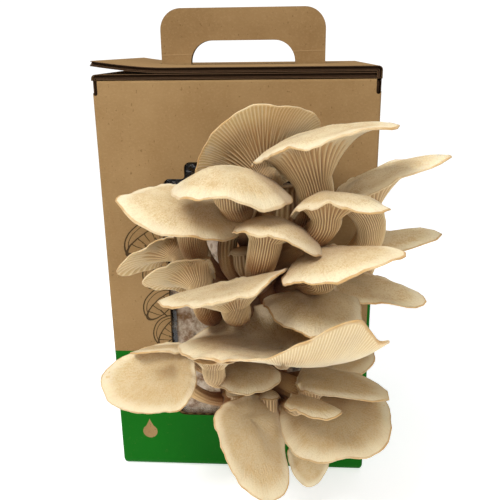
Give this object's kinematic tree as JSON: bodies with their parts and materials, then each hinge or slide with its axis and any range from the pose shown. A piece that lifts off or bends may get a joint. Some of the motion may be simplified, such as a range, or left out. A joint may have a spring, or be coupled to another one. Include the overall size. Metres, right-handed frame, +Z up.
{
  "type": "oyster mushroom grow kit",
  "caption": "Oyster mushroom grow kit: a kraft carton with a carry handle and a front window, with clusters of oyster mushrooms growing out of the bagged block inside.",
  "frame": {"origin": "middle of the carton's footprint, on the floor", "axes": "+Z up through the handle; the window and the mushrooms face -Y; +X to the right of someone facing the window"},
  "size_m": [0.2165, 0.2833, 0.329],
  "materials": {
    "kraft_board": "matte",
    "clear_film": "gloss",
    "grown_substrate": "matte",
    "mushroom_flesh": "satin"
  },
  "bodies": {
    "root": {"carton": "kraft_board", "grow_bag": "clear_film", "substrate_block": "grown_substrate", "upper_knot": "mushroom_flesh", "lower_knot": "mushroom_flesh", "mushroom_top_fan": "mushroom_flesh", "mushroom_big_trumpet": "mushroom_flesh", "mushroom_upper_dome": "mushroom_flesh", "mushroom_left_tongue": "mushroom_flesh", "mushroom_small_umbrella": "mushroom_flesh", "mushroom_high_blade": "mushroom_flesh", "mushroom_middle_dome": "mushroom_flesh", "mushroom_low_blade": "mushroom_flesh", "mushroom_right_shell": "mushroom_flesh", "mushroom_left_leaf": "mushroom_flesh", "mushroom_gill_shell": "mushroom_flesh", "mushroom_bright_shell": "mushroom_flesh", "mushroom_folded_bowl": "mushroom_flesh", "mushroom_inner_shell": "mushroom_flesh", "mushroom_right_wing": "mushroom_flesh", "mushroom_corner_saucer": "mushroom_flesh", "mushroom_corner_sliver": "mushroom_flesh", "mushroom_little_trumpet": "mushroom_flesh", "mushroom_small_button": "mushroom_flesh", "mushroom_low_shelf": "mushroom_flesh", "mushroom_back_shelf": "mushroom_flesh", "mushroom_small_point": "mushroom_flesh", "mushroom_low_fan": "mushroom_flesh", "mushroom_low_tongue": "mushroom_flesh", "mushroom_under_tongue": "mushroom_flesh"}
  },
  "joints": []
}
